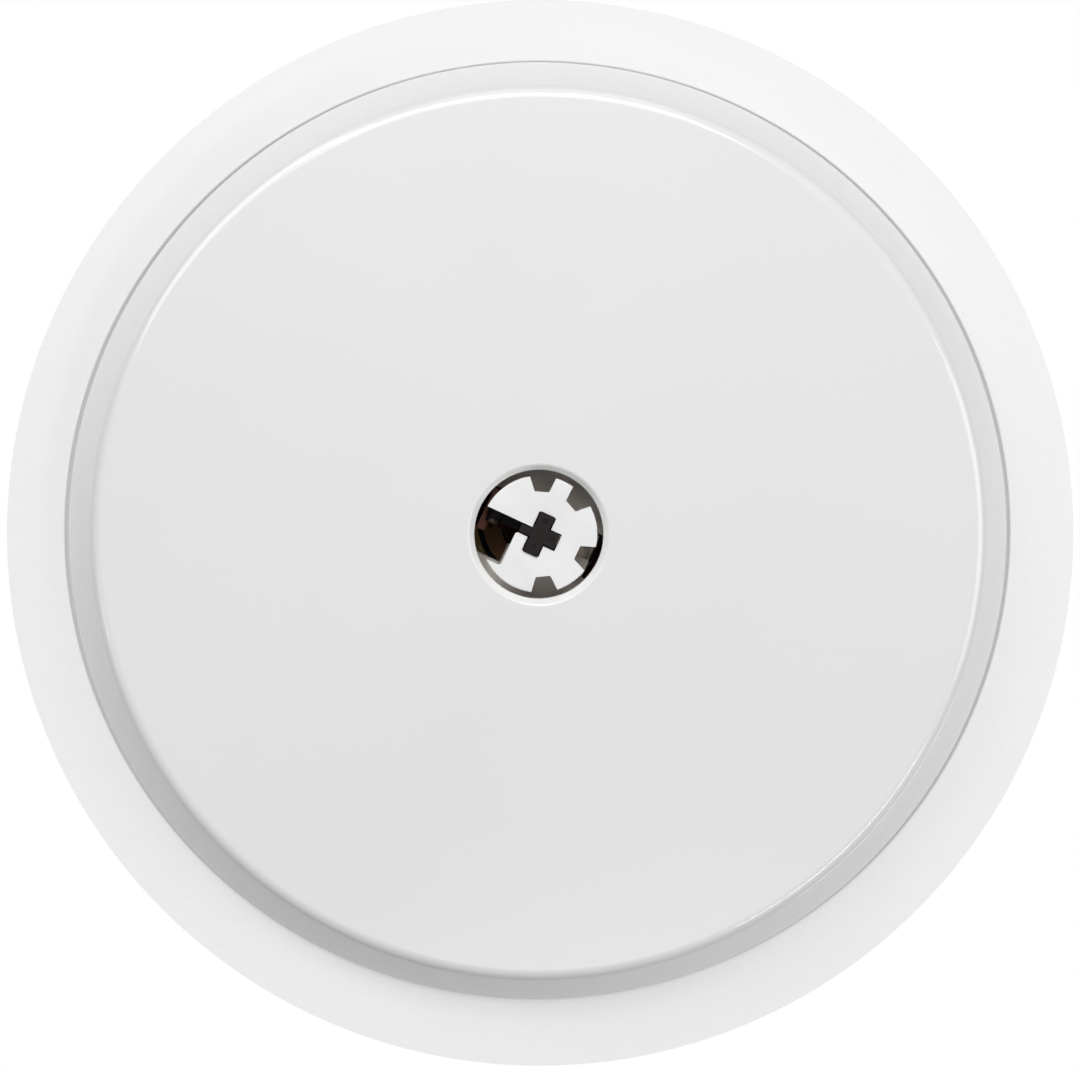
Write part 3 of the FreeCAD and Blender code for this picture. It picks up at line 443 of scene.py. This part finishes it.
zincLook = {"clean": (0.66, 0.665, 0.66), "dull": (0.45, 0.46, 0.47), "bright": (0.8, 0.8, 0.8),
            "rough": (0.26, 0.42), "clouds": 150.0, "cover": 0.42, "reach": 0.00015, "wear": 0.5,
            "rings": 1200.0, "ringDepth": 0.000001, "grain": 2600.0, "grainDepth": 0.000004}
fibreLook = {"dark": (0.20, 0.045, 0.03), "light": (0.36, 0.10, 0.065), "threads": 1500.0,
             "turns": (0.4, 1.9), "stretch": (1, 5, 3), "depth": 0.00003, "rough": (0.72, 0.9)}


def fibre(name, look):
    # pressed fibre: short threads as noise stretched along two directions, matt
    material, tree, shader, place = newMaterial(name, {"Metallic": 0.0, "Specular IOR Level": 0.3})
    layers = []
    for turn in look["turns"]:
        mapping = addNode(tree, "ShaderNodeMapping", {"Rotation": (0, 0, turn), "Scale": look["stretch"]})
        join(tree, place, mapping.inputs["Vector"])
        noise = addNode(tree, "ShaderNodeTexNoise", {"Scale": look["threads"], "Detail": 4.0})
        join(tree, mapping.outputs[0], noise.inputs["Vector"])
        layers.append(noise.outputs[0])
    threads = math2(tree, "MAXIMUM", *layers)
    colour = blendColours(tree, spread(tree, threads, 0, 1, 0.4, 0.7), look["dark"], look["light"])
    join(tree, colour, shader.inputs["Base Color"])
    join(tree, spread(tree, threads, *look["rough"]), shader.inputs["Roughness"])
    bumpFrom(tree, threads, look["depth"], shader)
    return material


finishes = {
    "white_paint": coating("whiteEnamel", enamelLook),
    "white_deflector": coating("whiteCoating", deflectorLook),
    "black_coated": coating("blackPolymer", blackLook),
    "brass_body": machined("machinedBrass", brassLook),
    "bronze_plate": machined("tarnishedBronzePaintedLight", bronzePaintedLightLook),
    "lever_bronze": machined("castBronzePaintedShade", leverPaintedShadeLook),
    "button_brass": machined("turnedBrass", buttonLook),
    "spring_steel": machined("bluedSteel", springLook),
    "stainless_pin": machined("groundStainless", pinLook),
    "solder": machined("dullSolder", solderLook),
    "disc_spring": machined("filmedNickel", discLook),
    "sleeve_steel": machined("zincPlate", zincLook),
    "sealing_fibre": fibre("pressedFibre", fibreLook),
}

slotOf = {row["node"]: row["material_slot"] for row in frame["record"]["subparts"]}
print("finishes made:", len(finishes))


# in millimetres, but for the shares of the wall's thickness that the inside corners step in by
plateShape = {"radius": plateRadius / mm, "faceRadius": 40.3, "depth": -plateLow.z / mm, "rim": 0.8,
              "wall": 1.2, "edgeRound": 1.3, "rimRound": 0.5, "openingRadius": 6.15, "openingRound": 0.35,
              "lipFlare": 0.2, "lipNeck": 0.3, "lipRise": 0.7, "collarTop": -1.2, "collarTaper": 0.2,
              "rimInnerShare": 0.25, "flankInnerShare": 0.6, "insideRound": 0.25, "cutRound": 0.06,
              "steps": 420}


def makePlate(shape):
    # one closed outline in radius and height, from the opening out along the face, up the flank and back
    # inside
    face, wall = -shape["depth"], shape["wall"]
    outer, inner = shape["radius"], shape["radius"] - wall
    hole, cut = shape["openingRadius"], shape["cutRound"]
    outline = roundedOutline([
        (hole + shape["lipFlare"], face, shape["openingRound"]),
        (shape["faceRadius"], face, shape["edgeRound"]),
        (outer, -shape["rim"], shape["rimRound"]),
        (outer, 0, cut),
        (inner, 0, cut),
        (inner, -shape["rim"] - shape["rimInnerShare"] * wall, shape["insideRound"]),
        (shape["faceRadius"] - shape["flankInnerShare"] * wall, face + wall, shape["insideRound"]),
        (hole + wall, face + wall, shape["insideRound"]),
        (hole + wall - shape["collarTaper"], shape["collarTop"], cut),
        (hole - shape["collarTaper"], shape["collarTop"], cut),
        (hole - shape["lipNeck"], face + shape["lipRise"], shape["openingRound"]),
    ])
    newPiece(turned("coverPlate", outline, shape["steps"]), "escutcheon",
             finishes["white_paint"], ["escutcheon_plate"])


makePlate(plateShape)
print("cover plate made")


# pieces of one slot differ: coated pin ends, one side's link pin painted dark as painted shade, and the
# other side's link pieces painted paler as painted light
coatedTip = machined("coatedTipStainless", guidePinLook)
shadedPinFinish = machined("stainlessPaintedShade", pinPaintedShadeLook)
litLinkFinish = machined("bronzeLinkPaintedLight", linkPaintedLightLook)
ownFinish = {"guide_pin_a": coatedTip, "guide_pin_b": coatedTip, "link_pin_a": shadedPinFinish,
             "link_pin_b": litLinkFinish, "link_arm_b": litLinkFinish, "lever_b": litLinkFinish}

for name, node in frame["nodes"].items():
    node.data.materials.clear()
    node.data.materials.append(ownFinish.get(name, finishes[slotOf[name]]))
print("finishes on the frame's nodes")


# pressed and moulded pieces whose corners the eye catches: the frame's shape with its corners rounded
cornerRules = {"merge": 0.002 * mm, "flat": math.radians(0.5), "corner": math.radians(30)}
softLook = {
    # node: width of the round in metres, its steps
    "deflector": (0.07 * mm, 3),
    "fusible_key": (0.07 * mm, 3),
    "link_arm_a": (0.08 * mm, 3),
    "link_arm_b": (0.08 * mm, 3),
    "guide_ring": (0.12 * mm, 3),
}


def roundCorners(name, width, steps):
    # a copy of the node with its doubles merged, flat faces joined again, and every corner past the
    # rule's angle rounded by an arc of that width
    node = frame["nodes"][name]
    work = bmesh.new()
    work.from_mesh(node.data)
    bmesh.ops.remove_doubles(work, verts=work.verts, dist=cornerRules["merge"])
    bmesh.ops.dissolve_limit(work, angle_limit=cornerRules["flat"], verts=work.verts, edges=work.edges)
    mesh = bpy.data.meshes.new(name + "_rounded")
    work.to_mesh(mesh)
    work.free()
    mesh.shade_smooth()
    mesh.set_sharp_from_angle(angle=cornerRules["corner"])
    bodies = frame["record"]["behaviour"]["bodies"]
    body = next(b for b, members in bodies.items() if name in members)
    piece = newPiece(mesh, body, node.data.materials[0], [name])
    bevel = piece.modifiers.new("round", "BEVEL")
    bevel.width, bevel.segments = width, steps
    bevel.limit_method, bevel.angle_limit = "ANGLE", cornerRules["corner"]
    bevel.use_clamp_overlap, bevel.harden_normals = True, True


for name, (width, steps) in softLook.items():
    roundCorners(name, width, steps)
print("corners rounded:", len(softLook))


stageLook = {"floorHeight": -1.3, "floorSize": 24.0, "floorColour": (0.86, 0.86, 0.855), "floorBounce": 0.27,
             "ceilingRadius": 48.8 * mm, "ceilingCentre": (0.27 * mm, 0.275 * mm), "ceilingGap": 0.12 * mm,
             "ceilingSteps": 360, "ceilingColour": (0.5, 0.497, 0.5), "ceilingGlow": 0.4, "cutGlow": 0.24,
             "cutSides": 0.42 * mm, "cutEnds": 0.12 * mm, "cutDepth": 1.5 * mm, "cutEase": 0.1 * mm,
             "lap": 2 * mm, "floorShade": 0.985, "ceilingShade": 0.965, "plasterDepth": 0.00006}


def onStage(name, mesh, material):
    mesh.materials.append(material)
    item = bpy.data.objects.new(name, mesh)
    scene.collection.objects.link(item)


def darker(colour, share):
    return tuple(c * share for c in colour)


def makeFloor(look):
    half, height = look["floorSize"] / 2, look["floorHeight"]
    side = np.linspace(-half, half, 3)
    x, y = np.meshgrid(side, side)
    mesh = meshFromGrid("paleFloor", np.stack([x, y, 0 * x + height], axis=-1), closedAround=False)
    material, tree, shader, place = newMaterial("plainFloor", {"Roughness": 0.9, "Specular IOR Level": 0.1})
    noise = addNode(tree, "ShaderNodeTexNoise", {"Scale": 3.0, "Detail": 2.0})
    join(tree, place, noise.inputs["Vector"])
    dark = darker(look["floorColour"], look["floorShade"])
    shade = blendColours(tree, noise.outputs[0], dark, look["floorColour"])
    # what the floor throws back up is held low, or it would flatten the shading under the plate
    path = addNode(tree, "ShaderNodeLightPath")
    bounce = (look["floorBounce"],) * 3
    join(tree, blendColours(tree, path.outputs["Is Camera Ray"], bounce, shade), shader.inputs["Base Color"])
    onStage("paleFloor", mesh, material)


def makeCeiling(look):
    # a ring of ceiling about the plate, rolled plaster, that shows only from the room's side. Its profile
    # is a flat with a step up at the cut edge, carried round the axis. The cut clears the rim by
    # ends + (sides - ends) cos(angle) squared, so it is widest to the left and right
    angle = np.linspace(0, tau, look["ceilingSteps"], endpoint=False)
    cut = plateRadius + look["cutEnds"] + (look["cutSides"] - look["cutEnds"]) * np.cos(angle) ** 2
    flat, ease = 0 * angle, look["cutEase"]
    low, high = flat + look["ceilingGap"], flat + look["ceilingGap"] + look["cutDepth"]
    radius = np.stack([flat + plateRadius - look["lap"], cut, cut, cut + ease, flat + look["ceilingRadius"]])
    height = np.stack([high, high, low + ease, low, low])
    share = (radius - cut) / (look["ceilingRadius"] - cut)
    x = radius * np.cos(angle) + look["ceilingCentre"][0] * share
    y = radius * np.sin(angle) + look["ceilingCentre"][1] * share
    mesh = meshFromGrid("ceilingRing", np.stack([x, y, height], axis=-1))
    mesh.set_sharp_from_angle(angle=cornerRules["corner"])
    # the glow stands for the light that the rest of a white room would throw on it, less in the cut
    material, tree, shader, place = newMaterial("rolledPlaster", {
        "Roughness": 0.85, "Emission Strength": 1.0})
    gap = look["ceilingGap"]
    inCut = spread(tree, heightOf(tree, place), 0, 1, gap + ease, gap + 3 * ease)
    glow = blendColours(tree, inCut, (look["ceilingGlow"],) * 3, (look["cutGlow"],) * 3)
    join(tree, glow, shader.inputs["Emission Color"])
    skin = useGroup(tree, sprayedSkin, {"Cells per metre": 900.0, "Drift per metre": 160.0})
    join(tree, place, skin.inputs["Place"])
    dark = darker(look["ceilingColour"], look["ceilingShade"])
    plaster = blendColours(tree, skin.outputs["Drift"], dark, look["ceilingColour"])
    join(tree, plaster, shader.inputs["Base Color"])
    bumpFrom(tree, skin.outputs["Height"], look["plasterDepth"], shader)
    # clear on its upper side, so that the object can be seen from behind
    clear = addNode(tree, "ShaderNodeBsdfTransparent")
    side = addNode(tree, "ShaderNodeNewGeometry")
    either = addNode(tree, "ShaderNodeMixShader")
    join(tree, side.outputs["Backfacing"], either.inputs[0])
    join(tree, shader.outputs[0], either.inputs[1])
    join(tree, clear.outputs[0], either.inputs[2])
    join(tree, either.outputs[0], tree.nodes["Material Output"].inputs["Surface"])
    onStage("ceilingRing", mesh, material)


makeFloor(stageLook)
makeCeiling(stageLook)
print("floor and ceiling made")


lightPlan = {
    # name: place, size in metres across and along, power in watts
    "softRight": ((0.41, 0.0, -0.287), (0.30, 0.30), 0.66),
    "softUpperLeft": ((-0.29, -0.29, -0.287), (0.30, 0.30), 0.77),
    "softTop": ((0.0, -0.25, -0.433), (0.26, 0.20), 0.84),
    "stripTop": ((0.03, -0.44, -0.24), (0.30, 0.05), 0.14),
    "stripLowerRight": ((0.25, 0.27, -0.36), (0.22, 0.014), 0.26),
    "stripLeft": ((-0.44, 0.115, -0.33), (0.10, 0.02), 0.08),
    "nearAxis": ((0.02, 0.16, -0.62), (0.12, 0.12), 0.06),
    "nearCamera": ((0.0, -0.13, -0.62), (0.12, 0.12), 0.09),
    "skyLeft": ((-0.5, -0.45, 0.7), (0.6, 0.6), 1.6),
    "skyRight": ((0.6, 0.5, 0.5), (0.5, 0.5), 1.2),
}
worldLook = {"colour": (1.0, 1.0, 1.0), "level": 0.25, "overhead": 0.95, "climb": (0.25, 0.7), "seen": 1.0}


def makeLights(plan):
    for name, (place, size, power) in plan.items():
        lamp = bpy.data.lights.new(name, "AREA")
        lamp.shape = "RECTANGLE"
        lamp.size, lamp.size_y = size
        lamp.energy = power
        holder = bpy.data.objects.new(name, lamp)
        holder.location = place
        holder.rotation_mode = "QUATERNION"
        holder.rotation_quaternion = (-Vector(place)).to_track_quat("-Z", "Y")
        holder.visible_camera = False
        scene.collection.objects.link(holder)


def makeWorld(look):
    # a pale room, brighter overhead: the strength goes from level to overhead while the height of the
    # direction passes the climb's two values. Seen straight from the camera it is even, as a backdrop is
    world = bpy.data.worlds.new("paleRoom")
    scene.world = world
    world.use_nodes = True
    tree = world.node_tree
    background = tree.nodes["Background"]
    background.inputs["Color"].default_value = (*look["colour"], 1)
    height = heightOf(tree, addNode(tree, "ShaderNodeTexCoord").outputs["Generated"])
    climb = spread(tree, height, look["level"], look["overhead"], *look["climb"])
    path = addNode(tree, "ShaderNodeLightPath")
    strength = addNode(tree, "ShaderNodeMapRange", {"To Max": look["seen"]})
    join(tree, path.outputs["Is Camera Ray"], strength.inputs["Value"])
    join(tree, climb, strength.inputs["To Min"])
    join(tree, strength.outputs[0], background.inputs["Strength"])


makeLights(lightPlan)
makeWorld(worldLook)
print("lamps placed:", len(lightPlan))


cameraLook = {"lens": 200.0, "sensor": 36.0, "frameWidth": 98.8 * mm, "aim": (0.18 * mm, 0.32 * mm, 0.0),
              "towardsRight": -1.0, "towardsBottom": -2.5}


def makeCamera(look):
    # below the plate and looking up along +Z, with -Y upwards in the view, a few degrees off the axis
    data = bpy.data.cameras.new("roomCamera")
    data.lens, data.sensor_width = look["lens"], look["sensor"]
    data.clip_start, data.clip_end = 0.01, 60
    distance = look["frameWidth"] / look["sensor"] * look["lens"]
    across, along = (math.tan(math.radians(look[side])) for side in ("towardsRight", "towardsBottom"))
    away = Vector((across, along, -1)).normalized()
    right = Vector((0, -1, 0)).cross(away).normalized()
    up = away.cross(right)
    turn = Matrix((right, up, away)).transposed()
    camera = bpy.data.objects.new("roomCamera", data)
    camera.location = Vector(look["aim"]) + away * distance
    camera.rotation_mode = "QUATERNION"
    camera.rotation_quaternion = turn.to_quaternion()
    scene.collection.objects.link(camera)
    scene.camera = camera


makeCamera(cameraLook)
